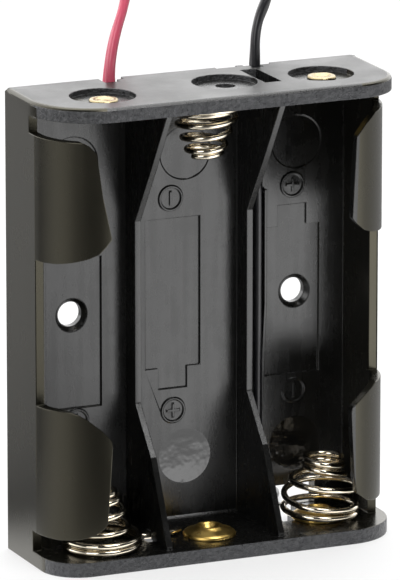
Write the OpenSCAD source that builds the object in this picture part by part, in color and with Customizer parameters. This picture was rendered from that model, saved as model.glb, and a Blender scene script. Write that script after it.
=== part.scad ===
// Holder for three AA cells side by side, with coil springs, brass eyelets and two leads.
// It stands on one end plate. X runs across the cells, the open face looks along -Y.

/* [Cells] */
// Diameter of the largest cell that fits
cell_d = 14.2; // [14:0.1:14.4]
// Distance between neighbouring cell axes
cell_pitch = 15.2; // [15:0.1:15.4]
// Outer radius of the clips round the left cell
left_clip_r = 8.1; // [7.9:0.05:8.2]
// Outer radius of the clips round the right cell
right_clip_r = 7.8; // [7.6:0.05:8]

/* [End plates] */
// Height of the holder, over both end plates
body_h = 59; // [58:0.5:62]
// Depth of an end plate, front to back
plate_d = 15.87; // [15.6:0.01:16.2]
// Thickness of an end plate
plate_t = 1.85; // [1.6:0.05:2.1]
// Radius of the front left corner of the top plate
top_left_r = 8.4; // [6:0.1:8.6]
// Radius of the front right corner of the top plate
top_right_r = 6.2; // [4:0.1:8]
// Radius of the front left corner of the bottom plate
bottom_left_r = 5; // [4:0.1:8]
// Radius of the front right corner of the bottom plate
bottom_right_r = 6.9; // [4:0.1:8]

/* [Walls] */
// Thickness of the floor behind the cells
floor_t = 1.88; // [1.6:0.02:2.2]
// Thickness of a side wall and of its clips
wall_t = 1.15; // [0.9:0.05:1.2]
// How far the right wall stands in from the edge of the plates
wall_inset = 1.1; // [0.9:0.05:1.3]
// Thickness of a rib between two cells
rib_t = 0.8; // [0.6:0.05:1]
// Lowest height of a rib above the floor
rib_low = 3; // [2:0.1:4]

/* [Mounting] */
// Diameter of a mounting hole
mount_d = 3.15; // [3:0.05:3.4]
// Diameter of the countersink at the floor's surface
countersink_d = 4.9; // [4.6:0.1:5.4]
// How far the mounting holes sit above the middle of the holder
mount_rise = 0.15; // [-1:0.05:1]

/* [Contacts] */
// Diameter of the spring wire
wire_d = 0.8; // [0.7:0.05:0.9]
// Diameter of the recess around an eyelet
recess_d = 8.24; // [8:0.02:8.4]
// Depth of the recess around an eyelet
recess_t = 0.7; // [0.6:0.05:0.8]
// Diameter of the hole for an eyelet
eyelet_hole_d = 2.45; // [2.3:0.05:2.6]
// Diameter of an eyelet's flange
flange_d = 6.7; // [6.4:0.05:6.8]
// Diameter of the raised ring on a flange
ring_d = 3.15; // [3:0.05:3.3]
// Diameter of an eyelet's rolled end
roll_d = 3.7; // [3.4:0.1:4]

/* [Leads] */
// Diameter of a lead over its insulation
lead_d = 1.2; // [1.1:0.05:1.3]
// Diameter of a lead's bare conductor
core_d = 0.55; // [0.4:0.05:0.6]
// Length of the tinned end of a lead
tip_l = 4.5; // [3:0.5:5]

/* [Hidden] */
$fn = 48;
e = 0.01;
arc_fn = 128;

cell_r = cell_d / 2;
body_w = 2 * cell_pitch + left_clip_r + right_clip_r + wall_inset;
left_x = -body_w / 2;
right_x = body_w / 2 - wall_inset;
function cell_x(i) = left_x + left_clip_r + i * cell_pitch;
function rib_x(i) = (cell_x(i) + cell_x(i + 1)) / 2;

// Back of the holder: the clips reach as far in front of the origin
back_y = 8.51;
floor_y = back_y - floor_t;
cell_y = floor_y - cell_r;
front_y = back_y - plate_d;
inner_z = plate_t;
inner_h = body_h - 2 * plate_t;
roof_z = body_h - plate_t;
mid_z = body_h / 2;
mount_z = mid_z + mount_rise;
wall_lip = 0.55;

// Outlines of the clips, seen from the front, as [distance outward from the cell's axis, height].
// Heights of the upper clips count from the roof, those of the lower clips from the ground.
tip_gap = 1;
past_clip = max(left_clip_r, right_clip_r) + 2;
upper_left_clip = [
    [past_clip, -2.15], [4.4, -2.15], [3.6, -2.55], [2.8, -3.45], [2.1, -8.85], [tip_gap, -14.25],
    [1.6, -15.05], [2.5, -16.05], [3.7, -16.65], [5.5, -17.25], [7, -17.65], [past_clip, -18.05]
];
lower_left_clip = [
    [past_clip, 20.8], [5.7, 21], [4.9, 20.7], [4, 20.2], [2.1, 18.6], [1.1, 17.4], [tip_gap, 16.6],
    [1.3, 11.3], [1.6, 6.9], [2.1, 6.2], [3.3, 5.3], [4.9, 4.8], [6.7, 4.5], [past_clip, 4.5]
];
upper_right_clip = [
    [past_clip, -1.65], [6.8, -1.75], [4.7, -2.05], [3, -3.15], [1.6, -4.55], [1.2, -11.25],
    [tip_gap, -14.85], [1.6, -15.55], [2.9, -16.65], [4.3, -17.15], [6, -17.45], [past_clip, -17.75]
];
lower_right_clip = [
    [past_clip, 20.7], [5.2, 20.5], [3.3, 19.5], [1.2, 18.1], [tip_gap, 17.5], [1.2, 13.8],
    [1.5, 9.1], [1.9, 6.8], [3.5, 5.6], [4.9, 5.2], [past_clip, 5.1]
];

// Front edge and height of the notches in the left wall, beside the plates
top_notch = [0.8, 2.15];
bottom_notch = [0.3, 2.65];

// Side view of a rib: [y, z] from the bottom plate to the top plate
rib_low_y = floor_y - rib_low;
rib_front_y = front_y + 1.2;
rib_profile = [
    [floor_y + e, inner_z - e], [rib_front_y, inner_z - e], [rib_front_y, inner_z + 0.4],
    [floor_y - 7.83, inner_z + 10.65], [rib_low_y, inner_z + 16.45], [rib_low_y, roof_z - 15.55],
    [floor_y - 8.13, roof_z - 7.85], [rib_front_y, roof_z - 0.4], [rib_front_y, roof_z + e],
    [floor_y + e, roof_z + e]
];

// Recesses, contacts and slots in the end plates
left_recess = [cell_x(0) + 1.25, -0.3];
middle_recess = [cell_x(1) + 2.9, 0.85];
right_recess = [cell_x(2) + 0.5, 0.25];
middle_hole = [cell_x(1) + 3.3, 1.5];
left_contact = [cell_x(0) + 1.3, -0.45];
right_contact = [cell_x(2) + 0.8, 0.7];
middle_contact = [cell_x(1) - 0.3, -1.75];
spring_contact = [cell_x(2) + 0.2, 0];
wire_slot_w = 2.2;
wire_slot_y = [-1.7, 5.9];
top_slot_x = rib_x(1) - 0.35;
bottom_slot_x = rib_x(0) - 1.05;
link_gap = 0.6;
red_notch = [rib_x(0) - 3.2, rib_x(0) - 1.2];
red_notch_d = 2.3;
black_notch = [rib_x(1) - 2.6, rib_x(1) + 4.7];
black_notch_d = 0.6;
black_slot = [rib_x(1) + 1.8, rib_x(1) + 3.2];
joint_slot = [cell_x(2) - 4.6, cell_x(2) - 2.1];
joint_window = [cell_x(2) - 3.4, cell_x(2) + 2.8];

// Relief on the floor: raised marks, sunk panels and discs, and a rail that holds a lead to the rib
mark_t = 0.22;
mark_w = 0.3;
mark_ring_d = 3.3;
mark_bar = 1.8;
panel_t = 0.3;
panel_w = 7.4;
panel_h = 19.2;
tab_w = 3.9;
tab_h = 2.7;
disc_d = 6.8;
disc_t = 0.08;
dish_d = 7.2;
dish_t = 0.22;
rail_x = rib_x(1) + 2.8;
rail_t = 0.4;
rail_h = 1.2;
foot_chamfer = 0.35;

// Coils: where each stands, and its radius and its distance from the plate, from turn to turn
left_coil_at = [cell_x(0) + 0.4, -1.6, plate_t];
left_radii = [
    [0.08, 5.45], [0.35, 4.65], [2, 4.65], [3, 3.15], [4, 2.65], [5, 2.05], [6.3, 1.35]
];
left_rise = [
    [0.08, 0.41], [0.75, 0.5], [1.25, 1.23], [1.75, 1.35], [2, 1.7], [3, 2.85], [4, 5.05],
    [5, 6.55], [6.3, 7.45]
];
left_turns = [0.08, 5, 6.3];
middle_coil_at = [cell_x(1) - 0.35, cell_y, roof_z];
middle_radii = [
    [0, 4.7], [0.25, 4.5], [0.5, 4.2], [0.8, 3.85], [1, 3.85], [2, 3.8], [3, 3.1], [4, 2.55],
    [5, 2], [5.5, 1.9]
];
middle_rise = [
    [0, 0.41], [0.75, 0.65], [1.25, 0.96], [2.25, 2.35], [3.25, 4.02], [4.25, 5.88], [5.25, 6.57],
    [5.5, 6.75]
];
middle_turns = [0, 4.4, 5.45];
right_coil_at = [cell_x(2) + 0.4, 0.1, plate_t];
right_radii = [[2.3, 4.6], [2.75, 3.4], [3.25, 2.4], [5, 2.35]];
right_rise = [
    [0, 0.55], [0.5, 1.15], [1, 1.62], [1.45, 2.05], [1.85, 4.25], [2.5, 4.55], [3.25, 6.25],
    [4.25, 7.15], [5, 7.77]
];
right_turns = [0, 3.3, 5];
right_lean = 0.1;
turn_gap = 0.015;

// Wires that join a spring to the eyelet of the next cell
low_link_z = plate_t + 0.45;
high_link_z = roof_z - 0.45;
bottom_link_route = [
    [left_coil_at[0] + 4.95, 0.75, low_link_z], [left_coil_at[0] + 5.3, 0.1, low_link_z],
    [rib_x(0) - 1.4, -0.35, low_link_z], [rib_x(0) + 0.7, -0.5, low_link_z],
    [rib_x(0) + 2.7, -0.4, low_link_z], [middle_contact[0] - 3.2, 0.4, low_link_z]
];
top_link_route = [
    [middle_coil_at[0] + 5.25, -0.4, high_link_z], [rib_x(1) - 1.7, 0, high_link_z],
    [rib_x(1) + 0.1, 0.2, high_link_z], [rib_x(1) + 2.3, 0.4, high_link_z],
    [right_contact[0] - 3.5, right_contact[1], high_link_z]
];

// Leads inside the holder
red_exit_x = rib_x(0) - 2.2;
black_exit_x = rib_x(1) + 2.5;
black_run_x = rib_x(1) + 2.15;
red_joint = [left_contact[0] + 1.6, 2.9, roof_z - 1.35];
red_core_route = [red_joint + [-0.8, -1, 0.3], red_joint + [-0.4, -0.5, 0.15], red_joint];
red_inner_route = [
    red_joint, red_joint + [0.4, 0.5, -0.15], [red_exit_x - 0.7, 5, roof_z - 1.55],
    [red_exit_x - 0.15, 6, roof_z - 1.35], [red_exit_x, 6.8, roof_z - 0.55],
    [red_exit_x, 6.9, roof_z + 0.85]
];
black_joint = [right_coil_at[0] - 3.9, 5.5, plate_t + 0.75];
black_core_route = [black_joint + [1.2, -0.8, -0.2], black_joint + [0.6, -0.4, -0.1], black_joint];
black_inner_route = [
    black_joint, [black_run_x + 0.65, 5.7, 3], [black_run_x + 0.05, 5.9, 4.5], [black_run_x, 6, 8],
    [black_run_x, 6, 14], [black_run_x, 6, 20], [black_run_x, 6, 26], [black_run_x, 6, 32],
    [black_run_x, 6, 38], [black_run_x, 6, 44], [black_run_x, 6, roof_z - 7.15],
    [black_run_x + 0.15, 6, roof_z - 4.15], [black_run_x + 0.3, 6.9, roof_z - 1.65],
    [black_exit_x, 7.4, roof_z - 0.15], [black_exit_x, 7.5, roof_z + 0.85]
];

// Routes of the two leads, from the top plate over the back and down to the ground behind it
red_route = [
    [-10.2, 6.9, 58], [-10.2, 7, 60], [-9.8, 7.3, 62.5], [-9, 7.8, 65], [-7.7, 8.6, 68],
    [-6.4, 10.3, 71.3], [-5, 12.7, 73.4], [-3.7, 15.6, 74], [-2.6, 18.5, 73], [-1.8, 20.9, 70.4],
    [-1.4, 22.2, 67], [-1.8, 22.8, 64], [-2.9, 23, 60.5], [-3.6, 23, 57], [-4, 23, 53], [-4.3, 23, 48],
    [-4.5, 23, 43], [-4.5, 23, 38], [-4.5, 23, 33], [-4.5, 23, 28], [-4.5, 23, 23], [-4.5, 23, 18],
    [-4.5, 23, 13], [-4.6, 23.1, 8.5], [-5.5, 23.6, 4.5], [-7.8, 24.9, 1.6], [-11, 25.7, 0.6],
    [-14.2, 23.9, 0.6], [-16.1, 20.6, 0.6], [-15.6, 16.6, 0.6], [-13, 13.6, 0.6], [-9.3, 12.6, 0.6],
    [-5.7, 13.8, 0.6], [-3.5, 16.5, 0.6], [-3.7, 19.8, 0.6], [-5.8, 22.2, 0.6], [-8.6, 22.8, 0.6]
];
black_route = [
    [9.7, 7.5, 58], [9.7, 7.6, 60], [9.85, 7.9, 62.5], [10.5, 8.2, 65], [12, 9, 67.7],
    [13.5, 10.7, 70.8], [14.9, 13.1, 72.9], [16.3, 16, 73.4], [17.5, 18.9, 72.3], [18.2, 21, 69.5],
    [18.4, 22.2, 66.3], [17.9, 22.8, 63.2], [16.9, 23, 60.5], [16.5, 23, 57], [16.3, 23, 53], [16, 23, 48],
    [15.6, 23, 43], [15.5, 23, 38], [15.5, 23, 33], [15.5, 23, 28], [15.5, 23, 23], [15.5, 23, 18],
    [15.5, 23, 13], [15.4, 23.1, 8.5], [14.5, 23.6, 4.5], [12.2, 24.9, 1.6], [9, 25.7, 0.6],
    [5.8, 23.9, 0.6], [3.9, 20.6, 0.6], [4.4, 16.6, 0.6], [7, 13.6, 0.6], [10.7, 12.6, 0.6],
    [14.3, 13.8, 0.6], [16.5, 16.5, 0.6], [16.3, 19.8, 0.6], [14.2, 22.2, 0.6], [11.4, 22.8, 0.6]
];

// A round tube along a list of points

function unit(v) = v / norm(v);
function heading(p, i) = unit(p[min(i + 1, len(p) - 1)] - p[max(i - 1, 0)]);
function square_to(n, t) = unit(n - (n * t) * t);
function sideways(p) = [
    for (i = 0, n = square_to([0.31, 0.17, 0.94], heading(p, 0));
        i < len(p);
        i = i + 1, n = square_to(n, heading(p, min(i, len(p) - 1)))) n
];

module tube(points, d, sides = 8) {
    s = sideways(points);
    last = len(points) - 1;
    corners = [
        for (i = [0:last], j = [0:sides - 1])
            let (a = j * 360 / sides, t = heading(points, i))
                points[i] + d / 2 * (cos(a) * s[i] + sin(a) * cross(t, s[i]))
    ];
    walls = [
        for (i = [0:last - 1], j = [0:sides - 1], half = [0, 1])
            let (a = i * sides + j, b = i * sides + (j + 1) % sides)
                half == 0 ? [a, a + sides, b + sides] : [a, b + sides, b]
    ];
    start = [for (j = [0:sides - 1]) j];
    end = [for (j = [sides - 1:-1:0]) last * sides + j];
    polyhedron(points = corners, faces = concat(walls, [start, end]), convexity = 6);
}

// Part of a coil, from one turn to another, whose radius and rise follow tables of [turn, value].
// It rises from the bottom plate where up is 1, and hangs from the top plate where it is -1.
function coil(at, up, radii, rise, from, to, hand, lean = 0) =
    let (steps = ceil((to - from) * 16), start = lookup(0, rise))
        [
            for (k = [0:steps])
                let (
                    t = from + (to - from) * k / steps,
                    a = hand * 360 * t,
                    r = lookup(t, radii),
                    climb = lookup(t, rise) - start,
                    tilt = lean * min(1, abs(climb) / 2)
                )
                    [
                        at[0] + r * cos(a) + lean * climb,
                        at[1] + r * sin(a),
                        at[2] + up * (start + climb) - tilt * r * cos(a)
                    ]
        ];

// Body

module plate_outline(left_corner, right_corner) {
    intersection() {
        translate([left_x, front_y])
            square([body_w, plate_d]);
        union() {
            translate([left_x, front_y + left_corner])
                square([body_w - right_corner, plate_d]);
            translate([left_x + left_corner, front_y + right_corner])
                square([body_w, plate_d]);
            translate([left_x + left_corner, front_y])
                square([body_w - left_corner - right_corner, plate_d]);
            translate([left_x + left_corner, front_y + left_corner])
                circle(r = left_corner, $fn = 96);
            translate([body_w / 2 - right_corner, front_y + right_corner])
                circle(r = right_corner, $fn = 96);
        }
    }
}

module top_plate() {
    translate([0, 0, roof_z])
        linear_extrude(plate_t)
            plate_outline(top_left_r, top_right_r);
}

module bottom_plate() {
    linear_extrude(plate_t)
        plate_outline(bottom_left_r, bottom_right_r);
}

module back_floor() {
    translate([left_x, floor_y, inner_z - e])
        cube([right_x - left_x, floor_t, inner_h + 2 * e]);
}

module side_wall(outer_x, inward) {
    x = inward > 0 ? outer_x : outer_x - wall_t;
    translate([x, cell_y - wall_lip, inner_z - e])
        cube([wall_t, back_y - cell_y + wall_lip, inner_h + 2 * e]);
}

// Arc round an outer cell, cut to an outline drawn on the front of the holder
module clip(i, outer_r, outward, base_z, outline) {
    translate([cell_x(i), cell_y, 0])
        intersection() {
            difference() {
                translate([0, 0, inner_z])
                    cylinder(r = outer_r, h = inner_h, $fn = arc_fn);
                cylinder(r = outer_r - wall_t, h = body_h, $fn = arc_fn);
            }
            rotate([90, 0, 0])
                linear_extrude(outer_r + 1)
                    polygon([for (p = outline) [outward * p[0], base_z + p[1]]]);
        }
}

module rib(i) {
    translate([rib_x(i) - rib_t / 2, 0, 0])
        rotate([90, 0, 90])
            linear_extrude(rib_t)
                polygon(rib_profile);
}

module cut_recess(at, top) {
    translate([at[0], at[1], top ? body_h - recess_t : -e])
        cylinder(d = recess_d, h = recess_t + e, $fn = 96);
}

module cut_eyelet_hole(at, top) {
    translate([at[0], at[1], top ? roof_z - e : -e])
        cylinder(d = eyelet_hole_d, h = plate_t + 2 * e);
}

module cut_mount_hole(i) {
    sink = (countersink_d - mount_d) / 2;
    translate([cell_x(i), back_y, mount_z])
        rotate([90, 0, 0]) {
            translate([0, 0, -e])
                cylinder(d = mount_d, h = floor_t + 2 * e);
            translate([0, 0, floor_t - sink])
                cylinder(d1 = mount_d, d2 = countersink_d + 2 * e, h = sink + e);
        }
}

module cut_box(x, y, z) {
    translate([x[0], y[0], z[0]])
        cube([x[1] - x[0], y[1] - y[0], z[1] - z[0]]);
}

// Openings in the plates, ribs and floor for the link wires
module cut_link_slots() {
    cut_box([top_slot_x, top_slot_x + wire_slot_w], wire_slot_y, [roof_z - e, body_h + e]);
    cut_box([bottom_slot_x, bottom_slot_x + wire_slot_w], wire_slot_y, [-e, plate_t + e]);
    cut_box([rib_x(1) - link_gap, rib_x(1) + link_gap], [-0.6, 1], [roof_z - 1.1, roof_z + e]);
    cut_box([rib_x(0) - link_gap, rib_x(0) + link_gap], [-1.2, 0.3], [plate_t - e, plate_t + 1.1]);
}

// Openings for the leads and for the black lead's joint
module cut_lead_slots() {
    back = back_y + e;
    cut_box(red_notch, [back_y - red_notch_d, back], [roof_z - e, body_h + e]);
    cut_box(red_notch, [floor_y - e, back], [roof_z - 2.55, roof_z + e]);
    cut_box([red_notch[1] - e, red_notch[1] + 1], [back_y - 1.1, back], [body_h - 0.8, body_h + e]);
    cut_box([black_notch[0], rib_x(1) + 0.1], [back_y - black_notch_d, back], [body_h - 0.9, body_h + e]);
    cut_box([rib_x(1) + 1.1, black_notch[1]], [back_y - black_notch_d, back], [body_h - 0.9, body_h + e]);
    cut_box(black_slot, [floor_y + 0.07, back], [roof_z - e, body_h + e]);
    cut_box(black_slot, [floor_y - e, back], [roof_z - 4.75, roof_z + e]);
    cut_box(joint_window, [floor_y - e, back], [plate_t - e, plate_t + 2.65]);
    cut_box(joint_slot, [-0.1, back], [-e, plate_t + e]);
    cut_box([joint_slot[1] - e, joint_slot[1] + 2.4], [4.2, back], [-e, plate_t + e]);
}

// Relief on the floor

// Raises an outline above the floor by t, or sinks it where t is negative
module on_floor(x, z, t) {
    translate([x, floor_y - max(t, e), z])
        rotate([-90, 0, 0])
            linear_extrude(t > 0 ? t + e : e - t)
                mirror([0, 1])
                    children();
}

module mark_ring() {
    difference() {
        circle(d = mark_ring_d, $fn = 40);
        circle(d = mark_ring_d - 2 * mark_w, $fn = 40);
    }
}

module minus_mark(x, z) {
    on_floor(x, z, mark_t) {
        mark_ring();
        square([mark_w, mark_bar], center = true);
    }
}

module plus_mark(x, z) {
    on_floor(x, z, mark_t) {
        mark_ring();
        square([mark_w, mark_bar], center = true);
        square([mark_bar, mark_w], center = true);
    }
}

// Sunk field in the floor, with a tab above it (1), below it (-1) or none (0)
module cut_panel(x, z, tab) {
    on_floor(x, z, -panel_t) {
        square([panel_w, panel_h], center = true);
        translate([0, tab * (panel_h + tab_h - e) / 2])
            square([tab_w, tab_h], center = true);
    }
}

module cut_panels() {
    cut_panel(cell_x(0) + 0.2, mid_z - 2.2, 0);
    cut_panel(cell_x(1) - 1.6, mid_z + 1.65, -1);
    cut_panel(cell_x(2) - 0.45, mid_z - 0.85, 1);
}

// Flat disc near the top of a bay and dished disc near its foot
module cut_discs(i) {
    on_floor(cell_x(i) + 0.1, roof_z - 8.15, -disc_t)
        circle(d = disc_d, $fn = 64);
    translate([cell_x(i), floor_y - e, inner_z + 8.05])
        rotate([-90, 0, 0])
            rotate_extrude($fn = 64)
                polygon([
                    [0, -e], [dish_d / 2, -e], [dish_d / 2, 0], [dish_d / 3, dish_t * 0.6],
                    [dish_d / 6, dish_t * 0.9], [0, dish_t]
                ]);
}

module rail() {
    translate([rail_x, 0, 0])
        rotate([90, 0, 90])
            linear_extrude(rail_t)
                polygon([
                    [floor_y + e, mid_z - 15.5], [floor_y - rail_h, mid_z - 0.5],
                    [floor_y - rail_h, mid_z + 14], [floor_y + e, mid_z + 14]
                ]);
}

// Chamfer between the floor and the bottom plate in the middle bay
module foot() {
    translate([rib_x(0), 0, 0])
        rotate([90, 0, 90])
            linear_extrude(cell_pitch)
                polygon([
                    [floor_y + e, inner_z - e], [floor_y - foot_chamfer, inner_z - e],
                    [floor_y + e, inner_z + foot_chamfer]
                ]);
}

module floor_marks() {
    minus_mark(cell_x(0) + 0.5, mid_z - 13.5);
    minus_mark(cell_x(1) - 1.9, mid_z + 13.85);
    plus_mark(cell_x(1) - 1.6, mid_z - 13.5);
    plus_mark(cell_x(2) - 0.45, mid_z + 14);
    minus_mark(cell_x(2) - 0.15, mid_z - 12.7);
}

module holder_body() {
    color([0.1, 0.1, 0.095])
        difference() {
            union() {
                top_plate();
                bottom_plate();
                back_floor();
                left_wall();
                right_wall();
                clip(0, left_clip_r, -1, roof_z, upper_left_clip);
                clip(0, left_clip_r, -1, 0, lower_left_clip);
                clip(2, right_clip_r, 1, roof_z, upper_right_clip);
                clip(2, right_clip_r, 1, 0, lower_right_clip);
                rib(0);
                rib(1);
                rail();
                foot();
                floor_marks();
            }
            cut_panels();
            for (i = [0:2])
                cut_discs(i);
            cut_recess(left_recess, true);
            cut_recess(middle_recess, true);
            cut_recess(right_recess, true);
            cut_recess(middle_contact, false);
            cut_recess(spring_contact, false);
            cut_eyelet_hole(left_contact, true);
            cut_eyelet_hole(middle_hole, true);
            cut_eyelet_hole(right_contact, true);
            cut_eyelet_hole(middle_contact, false);
            cut_eyelet_hole(spring_contact, false);
            cut_mount_hole(0);
            cut_mount_hole(2);
            cut_link_slots();
            cut_lead_slots();
        }
}

module left_wall() {
    x = [left_x - e, left_x + 2 * wall_t];
    difference() {
        side_wall(left_x, 1);
        cut_box(x, [front_y, top_notch[0]], [roof_z - top_notch[1], roof_z]);
        cut_box(x, [front_y, bottom_notch[0]], [inner_z, inner_z + bottom_notch[1]]);
    }
}

module right_wall() {
    side_wall(right_x, -1);
}

// Contacts

// Hollow rivet: flange and raised ring on the cell's side, barrel through the plate, rolled end outside
module eyelet(at, top) {
    barrel = eyelet_hole_d / 2 - 0.05;
    rim = flange_d / 2;
    ring = ring_d / 2;
    web = plate_t - recess_t;
    color([0.8, 0.66, 0.33])
        translate([at[0], at[1], top ? roof_z : plate_t])
            mirror([0, 0, top ? 1 : 0])
                rotate_extrude($fn = 64)
                    polygon([
                        [0, 0.55], [ring / 2, 0.6], [ring - 0.325, 0.95], [ring - 0.125, 1.3],
                        [ring + 0.125, 1.3], [ring + 0.325, 0.95], [ring + 0.925, 0.75],
                        [rim - 0.15, 0.65], [rim, 0.5], [rim, 0], [barrel, 0], [barrel, -web],
                        [roll_d / 2, -web], [roll_d / 2, -web - 0.3], [roll_d / 2 - 0.4, -web - 0.5],
                        [0.8, -web - 0.4], [0.6, -web], [0.6, -0.2], [0, -0.2]
                    ]);
}

module left_eyelet() eyelet(left_contact, true);
module middle_eyelet() eyelet(middle_contact, false);
module right_eyelet() eyelet(right_contact, true);
module spring_eyelet() eyelet(spring_contact, false);

module nickel() color([0.78, 0.78, 0.76]) children();

// Each spring is its tapering coil and, in a node of its own, the end that the cell pushes on

module left_coil(from, to)
    nickel() tube(coil(left_coil_at, 1, left_radii, left_rise, from, to, 1), wire_d);
module left_spring() left_coil(left_turns[0], left_turns[1]);
module left_spring_tip() left_coil(left_turns[1] + turn_gap, left_turns[2]);

module middle_coil(from, to)
    nickel() tube(coil(middle_coil_at, -1, middle_radii, middle_rise, from, to, -1), wire_d);
module middle_spring() middle_coil(middle_turns[0], middle_turns[1]);
module middle_spring_tip() middle_coil(middle_turns[1] + turn_gap, middle_turns[2]);

module right_coil(from, to)
    nickel() tube(coil(right_coil_at, 1, right_radii, right_rise, from, to, -1, right_lean), wire_d);
module right_spring() right_coil(right_turns[0], right_turns[1]);
module right_spring_tip() right_coil(right_turns[1] + turn_gap, right_turns[2]);

module bottom_link() nickel() tube(bottom_link_route, wire_d);
module top_link() nickel() tube(top_link_route, wire_d);

// Leads

module red_plastic() color([0.8, 0.25, 0.32]) children();
module black_plastic() color([0.12, 0.12, 0.12]) children();
module tinned() color([0.75, 0.75, 0.74]) children();

// Bare end of a lead, straight on from the last points of its route
module bare_end(route) {
    last = len(route) - 1;
    way = unit(route[last] - route[last - 1]);
    tinned() tube([route[last], route[last] + tip_l / 2 * way, route[last] + tip_l * way], core_d);
}

module red_inner_lead() red_plastic() tube(red_inner_route, lead_d);
module red_core() tinned() tube(red_core_route, core_d);
module red_lead() red_plastic() tube(red_route, lead_d);
module red_lead_end() bare_end(red_route);
module black_inner_lead() black_plastic() tube(black_inner_route, lead_d);
module black_core() tinned() tube(black_core_route, core_d);
module black_lead() black_plastic() tube(black_route, lead_d);
module black_lead_end() bare_end(black_route);

holder_body();
left_spring();
left_spring_tip();
middle_spring();
middle_spring_tip();
right_spring();
right_spring_tip();
left_eyelet();
middle_eyelet();
right_eyelet();
spring_eyelet();
bottom_link();
top_link();
red_inner_lead();
red_core();
black_inner_lead();
black_core();
red_lead();
red_lead_end();
black_lead();
black_lead_end();
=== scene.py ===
# Battery holder for three cells side by side: its finish, contacts, springs and leads
import math

import bmesh
import bpy
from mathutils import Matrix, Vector


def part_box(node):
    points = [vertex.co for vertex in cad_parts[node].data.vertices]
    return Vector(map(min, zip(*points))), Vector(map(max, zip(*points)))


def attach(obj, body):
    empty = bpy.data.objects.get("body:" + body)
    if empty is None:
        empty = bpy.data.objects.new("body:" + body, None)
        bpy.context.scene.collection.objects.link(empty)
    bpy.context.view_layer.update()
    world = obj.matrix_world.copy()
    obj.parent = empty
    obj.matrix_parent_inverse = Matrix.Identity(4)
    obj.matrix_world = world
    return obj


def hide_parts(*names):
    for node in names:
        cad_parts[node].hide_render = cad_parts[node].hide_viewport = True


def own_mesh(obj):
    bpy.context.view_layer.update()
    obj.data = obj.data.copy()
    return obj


mm = 0.001  # every length below is in millimetres, times this

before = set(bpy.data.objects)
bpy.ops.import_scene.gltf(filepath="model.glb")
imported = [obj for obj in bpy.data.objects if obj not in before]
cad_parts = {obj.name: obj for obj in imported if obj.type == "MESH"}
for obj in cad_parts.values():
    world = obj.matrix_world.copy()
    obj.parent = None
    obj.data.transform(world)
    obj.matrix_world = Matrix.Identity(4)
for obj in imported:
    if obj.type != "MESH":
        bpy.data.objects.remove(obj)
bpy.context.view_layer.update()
print("frame loaded")


# Camera

camera = {
    "target": (2.404, 8.168, 30.715),
    "distance": 898.3,
    "azimuth": -23.796,  # degrees from straight in front, towards the left
    "elevation": 14.376,
    "lens": 445.08,
    "sensor": 36,
    "clip": (0.01, 20),  # metres
}


def addCamera():
    azimuth, elevation = math.radians(camera["azimuth"]), math.radians(camera["elevation"])
    back = Vector((
        math.sin(azimuth) * math.cos(elevation),
        -math.cos(azimuth) * math.cos(elevation),
        math.sin(elevation),
    ))
    place = (Vector(camera["target"]) + back * camera["distance"]) * mm
    bpy.ops.object.camera_add(location=place, rotation=(-back).to_track_quat("-Z", "Y").to_euler())
    made = bpy.context.active_object
    made.data.lens = camera["lens"]
    made.data.sensor_width = camera["sensor"]
    made.data.clip_start, made.data.clip_end = camera["clip"]
    bpy.context.scene.camera = made


addCamera()
bpy.context.scene.view_settings.view_transform = "Standard"
print("camera placed")


# Small helpers


def toLinear(hexColour):  # sRGB hex to the linear colour that nodes take
    channels = [int(hexColour[i:i + 2], 16) / 255 for i in (1, 3, 5)]
    return [c / 12.92 if c <= 0.04045 else ((c + 0.055) / 1.055) ** 2.4 for c in channels] + [1]


def addNode(tree, kind, inputs=None, **settings):
    node = tree.nodes.new(kind)
    for name, value in settings.items():
        setattr(node, name, value)
    for socket, value in (inputs or {}).items():
        if isinstance(value, bpy.types.NodeSocket):
            tree.links.new(value, node.inputs[socket])
        else:
            node.inputs[socket].default_value = value
    return node


def mapRange(tree, value, fromRange, toRange=(0, 1), **settings):
    return addNode(tree, "ShaderNodeMapRange", {
        "Value": value, "From Min": fromRange[0], "From Max": fromRange[1],
        "To Min": toRange[0], "To Max": toRange[1],
    }, **settings).outputs["Result"]


def newMaterial(name):
    made = bpy.data.materials.new(name)
    made.use_nodes = True
    shader = made.node_tree.nodes["Principled BSDF"]
    return made, made.node_tree, shader


def deselectAll():
    if bpy.context.object and bpy.context.object.mode != "OBJECT":
        bpy.ops.object.mode_set(mode="OBJECT")
    bpy.ops.object.select_all(action="DESELECT")


def makeActive(piece):
    deselectAll()
    piece.select_set(True)
    bpy.context.view_layer.objects.active = piece


def inEditMode(piece, work):
    makeActive(piece)
    bpy.ops.object.mode_set(mode="EDIT")
    work()
    bpy.ops.object.mode_set(mode="OBJECT")


def finishPiece(piece, name, material, body, slot, *nodes):
    piece.name = name
    piece.data.name = name
    if material:
        piece.data.materials.clear()
        piece.data.materials.append(material)
    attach(piece, body)
    if nodes:
        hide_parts(*nodes)
    return piece


# Materials


steelMould = {  # what all faces of the moulding take from the steel, whatever its polish
    "patchRange": (0.3, 0.7),  # the part of the noise that the gloss follows
    "shadeRange": (0.35, 0.68),  # and the part that the colour follows
    "streakWidth": 0.9,
    "streakSquash": 0.06,  # below 1, which draws the streaks out upward
    "dustSize": (0.015, 0.035),  # in shares of the spacing: solid, and faded out
    "dustColour": "#8d8b86",
}


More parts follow.
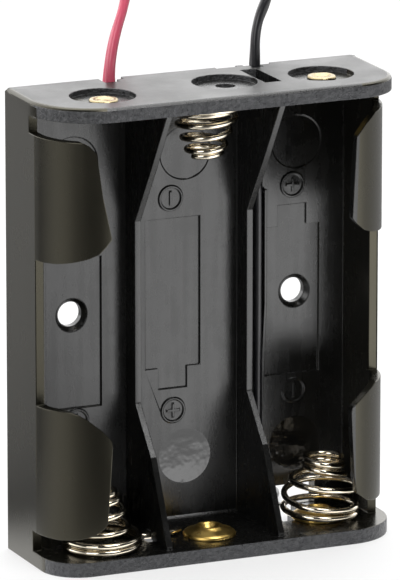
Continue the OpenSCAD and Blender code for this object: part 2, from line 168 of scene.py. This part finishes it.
def mouldedAbs(name, finish):  # black ABS that shows its mould's polish or spark grain
    made, tree, shader = newMaterial(name)
    where = addNode(tree, "ShaderNodeTexCoord").outputs["Object"]
    patches = addNode(tree, "ShaderNodeTexNoise", {
        "Vector": where, "Scale": 1 / (finish["patchSize"] * mm), "Detail": 4, "Roughness": 0.6,
    })
    along = addNode(tree, "ShaderNodeMapping", {
        "Vector": where, "Scale": (1, 1, steelMould["streakSquash"]),
    })
    streaks = addNode(tree, "ShaderNodeTexNoise", {  # faint and upright, from the mould's polishing
        "Vector": along.outputs["Vector"], "Scale": 1 / (steelMould["streakWidth"] * mm), "Detail": 3,
    })
    mixed = addNode(tree, "ShaderNodeMix", {
        "Factor": finish["streaks"], 2: patches.outputs["Fac"], 3: streaks.outputs["Fac"],
    })
    roughness = mapRange(tree, mixed.outputs["Result"], steelMould["patchRange"], finish["roughness"])
    grain = addNode(tree, "ShaderNodeTexNoise", {
        "Vector": where, "Scale": 1 / (finish["grainSize"] * mm), "Detail": 3, "Roughness": 0.65,
    })
    mottle = addNode(tree, "ShaderNodeMix", {
        "Factor": finish["mottle"], 2: patches.outputs["Fac"], 3: grain.outputs["Fac"],
    })
    shade = mapRange(tree, mottle.outputs["Result"], steelMould["shadeRange"])
    darker, lighter = finish["colours"]
    colour = addNode(tree, "ShaderNodeMix", {
        "Factor": shade, "A": toLinear(darker), "B": toLinear(lighter),
    }, data_type="RGBA")
    dots = addNode(tree, "ShaderNodeTexVoronoi", {
        "Vector": where, "Scale": 1 / (finish["dustSpacing"] * mm),
    })
    isDust = mapRange(tree, dots.outputs["Distance"], steelMould["dustSize"], (1, 0))
    dusty = addNode(tree, "ShaderNodeMix", {  # sparse pale specks of dust and swarf
        "Factor": isDust, "A": colour.outputs["Result"], "B": toLinear(steelMould["dustColour"]),
    }, data_type="RGBA")
    bump = addNode(tree, "ShaderNodeBump", {
        "Height": grain.outputs["Fac"], "Strength": 1, "Distance": finish["grainHeight"] * mm,
    })
    tree.links.new(dusty.outputs["Result"], shader.inputs["Base Color"])
    tree.links.new(roughness, shader.inputs["Roughness"])
    tree.links.new(bump.outputs["Normal"], shader.inputs["Normal"])
    shader.inputs["IOR"].default_value = finish["ior"]
    shader.inputs["Specular Tint"].default_value = toLinear(finish["sheenColour"])
    return made


absFinishes = {
    "wallAbs": {  # polished mould: soft streaks of light on the walls and clips
        "colours": ("#0a0a08", "#11100c"), "sheenColour": "#fff7da", "ior": 1.58, "roughness": (0.22, 0.3),
        "patchSize": 6, "grainSize": 0.35, "grainHeight": 0.003,
        "mottle": 0.2, "streaks": 0.3, "dustSpacing": 11,
    },
    "topAbs": {  # satin top face
        "colours": ("#151514", "#1c1c1b"), "sheenColour": "#ffffff", "ior": 1.58, "roughness": (0.33, 0.44),
        "patchSize": 5, "grainSize": 0.25, "grainHeight": 0.012,
        "mottle": 0.3, "streaks": 0, "dustSpacing": 14,
    },
    "rimAbs": {  # spark-eroded edge of the plates, which glints in specks
        "colours": ("#141414", "#4c4c4c"), "sheenColour": "#f6f8ff", "ior": 1.58, "roughness": (0.24, 0.44),
        "patchSize": 1.1, "grainSize": 0.42, "grainHeight": 0.3,
        "mottle": 0.8, "streaks": 0, "dustSpacing": 1.6,
    },
    "floorAbs": {  # fine matt floor, a little uneven
        "colours": ("#0c0c0b", "#141413"), "sheenColour": "#ffffff", "ior": 1.58, "roughness": (0.2, 0.33),
        "patchSize": 2.5, "grainSize": 0.3, "grainHeight": 0.012,
        "mottle": 0.2, "streaks": 0.55, "dustSpacing": 9,
    },
    "dishAbs": {  # the ejector pins' polished ends leave the dished discs glossy
        "colours": ("#0a0a0a", "#101010"), "sheenColour": "#ffffff", "ior": 1.7, "roughness": (0.08, 0.14),
        "patchSize": 2, "grainSize": 4, "grainHeight": 0.14,
        "mottle": 0.2, "streaks": 0, "dustSpacing": 9,
    },
}
plastics = {name: mouldedAbs(name, finish) for name, finish in absFinishes.items()}


thinPlate = {"patchRange": (0.3, 0.7), "unevenness": 0.01}


def platedMetal(name, hexColour, roughness, patchSize):  # bright, with slightly uneven highlights
    made, tree, shader = newMaterial(name)
    where = addNode(tree, "ShaderNodeTexCoord").outputs["Object"]
    patches = addNode(tree, "ShaderNodeTexNoise", {
        "Vector": where, "Scale": 1 / (patchSize * mm), "Detail": 3,
    })
    spread = mapRange(tree, patches.outputs["Fac"], thinPlate["patchRange"], roughness)
    bump = addNode(tree, "ShaderNodeBump", {
        "Height": patches.outputs["Fac"], "Strength": 1, "Distance": thinPlate["unevenness"] * mm,
    })
    shader.inputs["Base Color"].default_value = toLinear(hexColour)
    shader.inputs["Metallic"].default_value = 1
    tree.links.new(spread, shader.inputs["Roughness"])
    tree.links.new(bump.outputs["Normal"], shader.inputs["Normal"])
    return made


nickelWire = platedMetal("nickelWire", "#e6dcc8", (0.09, 0.18), 1.2)  # plated spring wire
pressedBrass = platedMetal("pressedBrass", "#ecc873", (0.26, 0.4), 0.8)  # satin from the press
shadedRolledBrass = platedMetal("shadedRolledBrass", "#a39574", (0.2, 0.4), 0.5)  # darker brass where it was curled over: painted shade, against the strong light the rolled ends catch
tinnedStrands = platedMetal("tinnedStrands", "#cfcdc7", (0.25, 0.4), 0.5)  # solder over copper strands

softPvc = {"waveLength": 2.2, "waveHeight": 0.03, "ior": 1.54}


def pvcInsulation(name, hexColour, roughness):  # soft extruded PVC: smooth, with a clear highlight along it
    made, tree, shader = newMaterial(name)
    where = addNode(tree, "ShaderNodeTexCoord").outputs["Object"]
    waves = addNode(tree, "ShaderNodeTexNoise", {
        "Vector": where, "Scale": 1 / (softPvc["waveLength"] * mm), "Detail": 2,
    })
    bump = addNode(tree, "ShaderNodeBump", {
        "Height": waves.outputs["Fac"], "Strength": 1, "Distance": softPvc["waveHeight"] * mm,
    })
    shader.inputs["Base Color"].default_value = toLinear(hexColour)
    shader.inputs["Roughness"].default_value = roughness
    shader.inputs["IOR"].default_value = softPvc["ior"]
    tree.links.new(bump.outputs["Normal"], shader.inputs["Normal"])
    return made


redPvc = pvcInsulation("redPvc", "#d65c73", 0.24)
blackPvc = pvcInsulation("blackPvc", "#232326", 0.28)


# Leads: each comes up through its notch, arches over the back and lies coiled behind the holder

leadSizes = {"diameter": 1.2, "core": 0.55, "bareEnd": 4.5}
leads = {  # inner and core lie inside the holder, and route is the free lead from its notch to its far end
    "red": {
        "material": redPvc,
        "length": 137,
        "exit": (-10.2, 6.95, 59),
        "inner": [
            (-12.7, 2.9, 55.8), (-12.3, 3.4, 55.65), (-10.9, 5, 55.6), (-10.35, 6, 55.8),
            (-10.2, 6.8, 56.6), (-10.2, 6.9, 58),
        ],
        "core": [(-13.5, 1.9, 56.1), (-13.1, 2.4, 55.95), (-12.7, 2.9, 55.8)],
        "route": [
            (-10.2, 6.9, 58), (-10.2, 7, 60), (-9.8, 7.3, 62.5), (-9, 7.8, 65), (-7.7, 8.6, 68),
            (-6.4, 10.3, 71.3), (-5, 12.7, 73.4), (-3.7, 15.6, 74), (-2.6, 18.5, 73), (-1.8, 20.9, 70.4),
            (-1.4, 22.2, 67), (-1.8, 22.8, 64), (-2.9, 23, 60.5), (-3.6, 23, 57), (-4, 23, 53),
            (-4.3, 23, 48), (-4.5, 23, 43), (-4.5, 23, 38), (-4.5, 23, 33), (-4.5, 23, 28),
            (-4.5, 23, 23), (-4.5, 23, 18), (-4.5, 23, 13), (-4.6, 23.1, 8.5), (-5.5, 23.6, 4.5),
            (-7.8, 24.9, 1.6), (-11, 25.7, 0.6), (-14.2, 23.9, 0.6), (-16.1, 20.6, 0.6),
            (-15.6, 16.6, 0.6), (-13, 13.6, 0.6), (-9.3, 12.6, 0.6), (-5.7, 13.8, 0.6),
            (-3.5, 16.5, 0.6), (-3.7, 19.8, 0.6), (-5.8, 22.2, 0.6), (-8.6, 22.8, 0.6),
        ],
    },
    "black": {
        "material": blackPvc,
        "length": 135.8,
        "exit": (9.7, 7.55, 59),
        "inner": [
            (11.3, 5.5, 2.6), (10, 5.7, 3), (9.4, 5.9, 4.5), (9.35, 6, 8), (9.35, 6, 14), (9.35, 6, 20),
            (9.35, 6, 26), (9.35, 6, 32), (9.35, 6, 38), (9.35, 6, 44), (9.35, 6, 50), (9.5, 6, 53),
            (9.65, 6.9, 55.5), (9.7, 7.4, 57), (9.7, 7.5, 58),
        ],
        "core": [(12.5, 4.7, 2.4), (11.9, 5.1, 2.5), (11.3, 5.5, 2.6)],
        "route": [
            (9.7, 7.5, 58), (9.7, 7.6, 60), (9.85, 7.9, 62.5), (10.5, 8.2, 65), (12, 9, 67.7),
            (13.5, 10.7, 70.8), (14.9, 13.1, 72.9), (16.3, 16, 73.4), (17.5, 18.9, 72.3), (18.2, 21, 69.5),
            (18.4, 22.2, 66.3), (17.9, 22.8, 63.2), (16.9, 23, 60.5), (16.5, 23, 57), (16.3, 23, 53),
            (16, 23, 48), (15.6, 23, 43), (15.5, 23, 38), (15.5, 23, 33), (15.5, 23, 28),
            (15.5, 23, 23), (15.5, 23, 18), (15.5, 23, 13), (15.4, 23.1, 8.5), (14.5, 23.6, 4.5),
            (12.2, 24.9, 1.6), (9, 25.7, 0.6), (5.8, 23.9, 0.6), (3.9, 20.6, 0.6), (4.4, 16.6, 0.6),
            (7, 13.6, 0.6), (10.7, 12.6, 0.6), (14.3, 13.8, 0.6), (16.5, 16.5, 0.6), (16.3, 19.8, 0.6),
            (14.2, 22.2, 0.6), (11.4, 22.8, 0.6),
        ],
    },
}


roundWire = {"stepsPerPoint": 6, "bevelSteps": 4, "smoothAngle": 50}


def addWire(points, diameter, smooth=True):  # a round wire along points, as one curve
    shape = bpy.data.curves.new("wire", "CURVE")
    shape.dimensions = "3D"
    shape.resolution_u = roundWire["stepsPerPoint"]
    spline = shape.splines.new("BEZIER" if smooth else "POLY")
    if smooth:
        spline.bezier_points.add(len(points) - 1)
        for knot, point in zip(spline.bezier_points, points):
            knot.co = Vector(point) * mm
            knot.handle_left_type = knot.handle_right_type = "AUTO"
    else:
        spline.points.add(len(points) - 1)
        for knot, point in zip(spline.points, points):
            knot.co = (*(Vector(point) * mm), 1)
    spline.use_smooth = True
    shape.bevel_depth = diameter / 2 * mm
    shape.bevel_resolution = roundWire["bevelSteps"]
    shape.use_fill_caps = True
    made = bpy.data.objects.new("wire", shape)
    bpy.context.scene.collection.objects.link(made)
    return made


def asMesh(piece):
    makeActive(piece)
    bpy.ops.object.convert(target="MESH")
    bpy.ops.object.shade_smooth_by_angle(angle=math.radians(roundWire["smoothAngle"]))
    return bpy.context.active_object


def addLead(colour, lead):
    insulation = colour + "_insulation"
    last, before = Vector(lead["route"][-1]), Vector(lead["route"][-2])
    way = (last - before).normalized()
    bare = addWire([last + way * leadSizes["bareEnd"] * k / 2 for k in range(3)], leadSizes["core"])
    finishPiece(
        asMesh(bare), colour + "_lead_bare_end", tinnedStrands, "holder", "tinned_copper",
        colour + "_lead_end",
    )
    free = addWire(lead["route"], leadSizes["diameter"])
    finishPiece(free, colour + "_lead_free", lead["material"], "holder", insulation, colour + "_lead")
    inner = addWire(lead["inner"], leadSizes["diameter"])
    finishPiece(
        asMesh(inner), colour + "_lead_inside", lead["material"], "holder", insulation,
        colour + "_inner_lead",
    )
    core = addWire(lead["core"], leadSizes["core"])
    finishPiece(
        asMesh(core), colour + "_lead_strands", tinnedStrands, "holder", "tinned_copper",
        colour + "_core",
    )


for colour, lead in leads.items():
    addLead(colour, lead)
print("leads laid")


# Springs: each tapers from its base turns to the turns that press on the cell

wireDiameter = 0.8
pointsPerTurn = 36
# turns: where the wire starts, where the coil passes into the end turns, and where it ends. The radii and
# heights are given by turn; fixedEnd is the height of the coil's fixed end, and travel how far it may be
# squeezed.
springs = {
    "left": {
        "centre": (-15.2, -1.6), "hand": 1, "lean": 0, "turns": (0.08, 5, 6.3), "fixedEnd": 1.86,
        "travel": -4.3,
        "radii": [(0.08, 5.45), (0.35, 4.65), (2, 4.65), (3, 3.15), (4, 2.65), (5, 2.05), (6.3, 1.35)],
        "heights": [
            (0.08, 2.26), (0.75, 2.35), (1.25, 3.08), (1.75, 3.2), (2, 3.55), (3, 4.7), (4, 6.9),
            (5, 8.4), (6.3, 9.3),
        ],
    },
    "middle": {
        "centre": (-0.75, -0.47), "hand": -1, "lean": 0, "turns": (0, 4.4, 5.45), "fixedEnd": 57.14,
        "travel": 3.6,
        "radii": [
            (0, 4.7), (0.25, 4.5), (0.5, 4.2), (0.8, 3.85), (1, 3.85), (2, 3.8), (3, 3.1), (4, 2.55),
            (5, 2), (5.5, 1.9),
        ],
        "heights": [
            (0, 56.74), (0.75, 56.5), (1.25, 56.19), (2.25, 54.8), (3.25, 53.13), (4.25, 51.27),
            (5.25, 50.58), (5.5, 50.4),
        ],
    },
    "right": {
        "centre": (15.2, 0.1), "hand": -1, "lean": 0.1, "turns": (0, 3.3, 5), "fixedEnd": 2,
        "travel": -4.3,
        "radii": [(0, 4.6), (2.3, 4.6), (2.75, 3.4), (3.25, 2.4), (5, 2.35)],
        "heights": [
            (0, 2.4), (0.5, 3), (1, 3.47), (1.45, 3.9), (1.85, 6.1), (2.5, 6.4), (3.25, 8.1), (4.25, 9),
            (5, 9.62),
        ],
    },
}


def lookUp(table, turn):  # straight between the table's rows, level past its ends
    for (startTurn, start), (endTurn, end) in zip(table, table[1:]):
        if turn <= endTurn:
            share = max(0, (turn - startTurn) / (endTurn - startTurn))
            return start + (end - start) * share
    return table[-1][1]


def eased(table, turn):  # the same, with the corners of the table rounded off
    spread, steps = 0.12, 3
    around = [lookUp(table, turn + spread * k / steps) for k in range(-steps, steps + 1)]
    return sum(around) / len(around)


def coilPoints(spring, start, end):
    count = math.ceil((end - start) * pointsPerTurn)
    base = lookUp(spring["heights"], 0)
    points = []
    for k in range(count + 1):
        turn = start + (end - start) * k / count
        angle = spring["hand"] * 2 * math.pi * turn
        radius = eased(spring["radii"], turn)
        rise = eased(spring["heights"], turn) - base
        tilt = spring["lean"] * min(1, abs(rise) / 2)  # the turns lie level at the plate
        points.append((
            spring["centre"][0] + radius * math.cos(angle) + spring["lean"] * rise,
            spring["centre"][1] + radius * math.sin(angle),
            base + rise - tilt * radius * math.cos(angle),
        ))
    return points


def addSpring(side, spring):
    first, split, last = spring["turns"]
    coil = asMesh(addWire(coilPoints(spring, first, split), wireDiameter, smooth=False))
    finishPiece(coil, side + "_spring_coil", nickelWire, "holder", "spring_wire", side + "_spring")
    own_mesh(coil)
    end = asMesh(addWire(coilPoints(spring, split, last), wireDiameter, smooth=False))
    finishPiece(
        end, side + "_spring_end_turns", nickelWire, side + "_spring_end", "spring_wire",
        side + "_spring_tip",
    )


for side, spring in springs.items():
    addSpring(side, spring)

links = {  # the wire that runs on from a spring to the next cell's eyelet
    "bottom_link": [
        (-10.25, 0.75, 2.3), (-9.9, 0.1, 2.3), (-9.4, -0.35, 2.3), (-7.3, -0.5, 2.3), (-5.3, -0.4, 2.3),
        (-3.9, 0.4, 2.3),
    ],
    "top_link": [(4.5, -0.4, 56.7), (5.5, 0, 56.7), (7.3, 0.2, 56.7), (9.5, 0.4, 56.7), (12.1, 0.7, 56.7)],
}
for name, points in links.items():
    link = asMesh(addWire(points, wireDiameter))
    finishPiece(link, name + "_wire", nickelWire, "holder", "spring_wire", name)
print("springs wound")


# Eyelets: flange and raised ring on the cell's side, barrel through the plate, rolled end outside

eyelets = {
    "sides": 64,
    "smoothAngle": 42,
    "rollDent": 0.01,
    "dentedBelow": -1.19,  # outside the plate the rolled end is uneven
    "rolledBelow": -1.16,  # and takes the darker brass, painted shade
    # the profile from the middle of the cell's side round to the middle of the rolled end: (radius, height)
    "profile": [
        (0.25, 0.42), (0.7, 0.5), (1.05, 0.78), (1.22, 1.1), (1.36, 1.27), (1.54, 1.3), (1.72, 1.2),
        (1.9, 0.98), (2.3, 0.86), (2.9, 0.66), (3.2, 0.48), (3.33, 0.3), (3.33, 0.08), (3.25, 0),
        (1.175, 0), (1.175, -1.15), (1.66, -1.15), (1.78, -1.2), (1.82, -1.3), (1.77, -1.4), (1.64, -1.47),
        (1.4, -1.48), (1.15, -1.42), (0.95, -1.3), (0.8, -1.22), (0.55, -1.24), (0.25, -1.32),
    ],
    "places": {  # centre of each, height of the plate's inner face, and the way to the cell
        "left_eyelet": (-14.3, -0.45, 57.15, -1),
        "middle_eyelet": (-0.7, -1.75, 1.85, 1),
        "right_eyelet": (15.6, 0.7, 57.15, -1),
        "spring_eyelet": (15, 0, 1.85, 1),
    },
}


def addEyelet(name, place):
    x, y, z, way = place
    rows = eyelets["profile"]
    bpy.ops.mesh.primitive_circle_add(
        vertices=eyelets["sides"], radius=rows[0][0] * mm, fill_type="TRIFAN",
        location=(x * mm, y * mm, (z + way * rows[0][1]) * mm),
    )
    eyelet = bpy.context.active_object
    bpy.ops.object.mode_set(mode="EDIT")
    bpy.ops.mesh.select_all(action="SELECT")
    for (radius, height), (nextRadius, nextHeight) in zip(rows, rows[1:]):
        bpy.ops.mesh.extrude_region_move(
            TRANSFORM_OT_translate={"value": (0, 0, way * (nextHeight - height) * mm)},
        )
        share = nextRadius / radius
        bpy.ops.transform.resize(value=(share, share, 1), center_override=(x * mm, y * mm, 0))
    bpy.ops.mesh.select_all(action="SELECT")
    bpy.ops.mesh.normals_make_consistent(inside=False)
    bpy.ops.object.mode_set(mode="OBJECT")
    makeActive(eyelet)
    bpy.ops.object.transform_apply(location=True, rotation=True, scale=True)
    for vertex in eyelet.data.vertices:  # the rolled edge is never quite round
        if (vertex.co.z / mm - z) * way < eyelets["dentedBelow"]:
            turn = math.atan2(vertex.co.y / mm - y, vertex.co.x / mm - x)
            dent = math.sin(3 * turn + x) + math.sin(5 * turn + y)
            vertex.co.z += way * eyelets["rollDent"] * dent * mm
    bpy.ops.object.shade_smooth_by_angle(angle=math.radians(eyelets["smoothAngle"]))
    finishPiece(eyelet, name + "_shell", pressedBrass, "holder", "eyelet_brass", name)
    eyelet.data.materials.append(shadedRolledBrass)
    # faces of the rolled end take the darker brass: painted shade
    for face in eyelet.data.polygons:
        if (face.center.z / mm - z) * way < eyelets["rolledBelow"]:
            face.material_index = 1


for name, place in eyelets["places"].items():
    addEyelet(name, place)
print("eyelets set")


# Holder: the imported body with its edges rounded, and a finish for each kind of face

holder = {
    "edgeRadius": 0.09, "edgeSteps": 2, "edgeAngle": 32, "smoothAngle": 10,
    "rimRadius": 0.55, "rimSteps": 4, "rimFrontY": -4.7, "rimSideX": 20.2,
    "rimFold": 1,  # radians: flatter folds of the top face stay as they are
    "topZ": 59, "plate": 1.85, "floorY": 6.63, "backY": 8.51,
    "outerX": 16.5,  # the clips and side walls lie beyond this
    "dishX": (-15.6, -0.4, 14.8), "dishZ": 9.9, "dishRadius": 3.65,
    "markDepth": 0.3,  # the marks stand off the floor by less than this
    "topSlack": 0.02, "slack": 0.01, "mergeWithin": 0.001,
}
mostly, wholly = 0.5, 0.97  # how far a face's normal points one way


def finishOf(centre, normal):
    x, y, z = centre / mm
    if z > holder["topZ"] - holder["topSlack"] and normal.z > mostly:
        return "topAbs"
    onPlate = z > holder["topZ"] - holder["plate"] or z < holder["plate"]
    if onPlate and abs(normal.z) < mostly and abs(normal.x) < wholly:
        return "rimAbs"
    if y > holder["floorY"] - holder["markDepth"] and normal.y < -mostly:
        across = min(abs(x - middle) for middle in holder["dishX"])
        inDish = math.hypot(across, z - holder["dishZ"]) < holder["dishRadius"]
        return "dishAbs" if inDish and y > holder["floorY"] + holder["slack"] else "floorAbs"
    return "wallAbs" if abs(x) > holder["outerX"] or normal.y > mostly else "floorAbs"


def roundTopRim():  # the mould is well rounded round the top plate's front and sides
    bpy.ops.mesh.select_all(action="DESELECT")
    shape = bmesh.from_edit_mesh(bpy.context.object.data)
    for edge in shape.edges:
        ends = [vertex.co / mm for vertex in edge.verts]
        onTop = all(abs(end.z - holder["topZ"]) < holder["slack"] for end in ends)
        atBack = all(abs(end.y - holder["backY"]) < holder["slack"] for end in ends)
        onRim = all(end.y < holder["rimFrontY"] or abs(end.x) > holder["rimSideX"] for end in ends)
        if onTop and onRim and not atBack and edge.calc_face_angle(0) > holder["rimFold"]:
            edge.select_set(True)
    bmesh.update_edit_mesh(bpy.context.object.data)
    bpy.ops.mesh.bevel(offset=holder["rimRadius"] * mm, segments=holder["rimSteps"])


def outlineDishes(shell):  # a dish meets the floor in a crisp edge, though at a shallow angle
    dish = list(plastics).index("dishAbs")
    dishedSides = {}
    for face in shell.polygons:
        for edge in face.edge_keys:
            dishedSides.setdefault(edge, set()).add(face.material_index == dish)
    for edge in shell.edges:
        edge.use_edge_sharp = len(dishedSides[tuple(sorted(edge.vertices))]) > 1


def makeHolder():
    body = bpy.data.objects.new("holder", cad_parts["holder_body"].data.copy())
    bpy.context.scene.collection.objects.link(body)
    body.data.materials.clear()

    def merge():
        bpy.ops.mesh.select_all(action="SELECT")
        bpy.ops.mesh.remove_doubles(threshold=holder["mergeWithin"] * mm)

    inEditMode(body, merge)
    bpy.ops.mesh.customdata_custom_splitnormals_clear()
    inEditMode(body, roundTopRim)
    for finish in plastics.values():
        body.data.materials.append(finish)
    finishNames = list(plastics)
    for face in body.data.polygons:
        face.material_index = finishNames.index(finishOf(face.center, face.normal))
    bevel = body.modifiers.new("edges", "BEVEL")
    bevel.width = holder["edgeRadius"] * mm
    bevel.segments = holder["edgeSteps"]
    bevel.limit_method = "ANGLE"
    bevel.angle_limit = math.radians(holder["edgeAngle"])
    bevel.use_clamp_overlap = False
    makeActive(body)
    bpy.ops.object.modifier_apply(modifier="edges")
    lowest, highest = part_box("holder_body")
    for vertex in body.data.vertices:  # no rounded corner stands past the moulding's own box
        vertex.co = [min(max(v, low), high) for v, low, high in zip(vertex.co, lowest, highest)]
    outlineDishes(body.data)
    bpy.ops.object.shade_smooth_by_angle(angle=math.radians(holder["smoothAngle"]))
    finishPiece(body, "moulded_holder", None, "holder", "holder_plastic", "holder_body")


makeHolder()
print("holder finished")


# Studio: a white sheet under and behind the holder, soft boxes above and to the left, a dim room in front

studio = {
    "roomFront": 0.04,
    "sheetBehind": 2.3,
    "roomEdges": (-0.35, 0.55),  # how far back a ray points where the room ends and where the sheet begins
    "diffuseShare": 0.55,
    "floorSize": 3,  # metres
    "floorColour": "#f4f4f4",
    "floorRoughness": 0.7,
    "floorWhite": 0.65,  # how much of what the camera sees of the floor is plain white, and not shaded
    "lamps": {  # place, aim, size and power of each soft box
        "overhead": ((60, 120, 420), (0, 0, 20), 420, 1.2),
        "leftFront": ((-420, -300, 260), (0, 0, 30), 300, 0.9),
        "overFront": ((90, -250, 520), (0, 0, 20), 260, 1.4),
    },
    # how bright the sheet looks in reflections, by direction: degrees from straight in front, to the right
    "sheetGlow": [
        (-90, 1.1), (-74, 1), (-58, 0.5), (-36, 0.2), (-14, 0.25), (4, 1.2), (20, 3), (40, 3),
        (70, 1), (125, 0.5), (200, 0.65), (234, 0.2), (269, 1.1),
    ],
    "nearGlow": 1.5,
    "nearRadius": (20, 42),
}


def addLamp(name, place, aim, size, power):
    place, aim = Vector(place) * mm, Vector(aim) * mm
    bpy.ops.object.light_add(type="AREA", location=place)
    made = bpy.context.active_object
    made.name = name
    made.rotation_euler = (aim - place).to_track_quat("-Z", "Y").to_euler()
    made.data.size = size * mm
    made.data.energy = power


for name, lamp in studio["lamps"].items():
    addLamp(name, *lamp)


def makeWorld():
    world = bpy.data.worlds.new("studio")
    bpy.context.scene.world = world
    world.use_nodes = True
    tree = world.node_tree
    tree.nodes.clear()
    rays = addNode(tree, "ShaderNodeLightPath")
    where = addNode(tree, "ShaderNodeTexCoord").outputs["Generated"]
    way = addNode(tree, "ShaderNodeSeparateXYZ", {"Vector": where})
    levels = (studio["roomFront"], studio["sheetBehind"])
    room = mapRange(tree, way.outputs["Y"], studio["roomEdges"], levels, interpolation_type="SMOOTHSTEP")
    share = mapRange(tree, rays.outputs["Is Diffuse Ray"], (0, 1), (1, studio["diffuseShare"]))
    strength = addNode(tree, "ShaderNodeMath", {0: room, 1: share}, operation="MULTIPLY")
    light = addNode(tree, "ShaderNodeBackground", {"Color": (1, 1, 1, 1), "Strength": strength.outputs[0]})
    white = addNode(tree, "ShaderNodeBackground", {"Color": (1, 1, 1, 1), "Strength": 1})
    mix = addNode(tree, "ShaderNodeMixShader", {
        0: rays.outputs["Is Camera Ray"], 1: light.outputs[0], 2: white.outputs[0],
    })
    addNode(tree, "ShaderNodeOutputWorld", {"Surface": mix.outputs[0]})


makeWorld()


def sheetGlow(tree):  # what glossy rays see of the sheet: even near the holder, by direction further out
    where = addNode(tree, "ShaderNodeTexCoord").outputs["Object"]
    angle = addNode(tree, "ShaderNodeTexGradient", {"Vector": where}, gradient_type="RADIAL")
    ramp = addNode(tree, "ShaderNodeValToRGB", {"Fac": angle.outputs["Fac"]})
    stops = ramp.color_ramp.elements
    brightest = max(level for _, level in studio["sheetGlow"])
    for turn, level in studio["sheetGlow"][1:-1]:
        stops.new((turn + 90) / 360)
    for stop, (turn, level) in zip(stops, studio["sheetGlow"]):
        stop.position = (turn + 90) / 360
        stop.color = (level / brightest, level / brightest, level / brightest, 1)
    far = addNode(tree, "ShaderNodeMath", {0: ramp.outputs["Color"], 1: brightest}, operation="MULTIPLY")
    away = addNode(tree, "ShaderNodeVectorMath", {0: where}, operation="LENGTH")
    nearRange = [radius * mm for radius in studio["nearRadius"]]
    levels = (studio["nearGlow"], far.outputs[0])
    return mapRange(tree, away.outputs["Value"], nearRange, levels, interpolation_type="SMOOTHSTEP")


def makeFloor():
    bpy.ops.mesh.primitive_plane_add(size=studio["floorSize"], location=(0, 0, 0))
    floor = bpy.context.active_object
    floor.name = "studio_floor"
    made, tree, shader = newMaterial("studioFloor")
    shader.inputs["Base Color"].default_value = toLinear(studio["floorColour"])
    shader.inputs["Roughness"].default_value = studio["floorRoughness"]
    rays = addNode(tree, "ShaderNodeLightPath")
    white = addNode(tree, "ShaderNodeEmission", {"Color": (1, 1, 1, 1), "Strength": 1})
    glow = addNode(tree, "ShaderNodeEmission", {"Color": (1, 1, 1, 1), "Strength": sheetGlow(tree)})
    share = addNode(tree, "ShaderNodeMath", {
        0: rays.outputs["Is Camera Ray"], 1: studio["floorWhite"],
    }, operation="MULTIPLY")
    seen = addNode(tree, "ShaderNodeMixShader", {
        0: share.outputs[0], 1: shader.outputs[0], 2: white.outputs[0],
    })
    mirrored = addNode(tree, "ShaderNodeMixShader", {
        0: rays.outputs["Is Glossy Ray"], 1: seen.outputs[0], 2: glow.outputs[0],
    })
    tree.links.new(mirrored.outputs[0], tree.nodes["Material Output"].inputs["Surface"])
    floor.data.materials.append(made)


makeFloor()
print("studio lit")
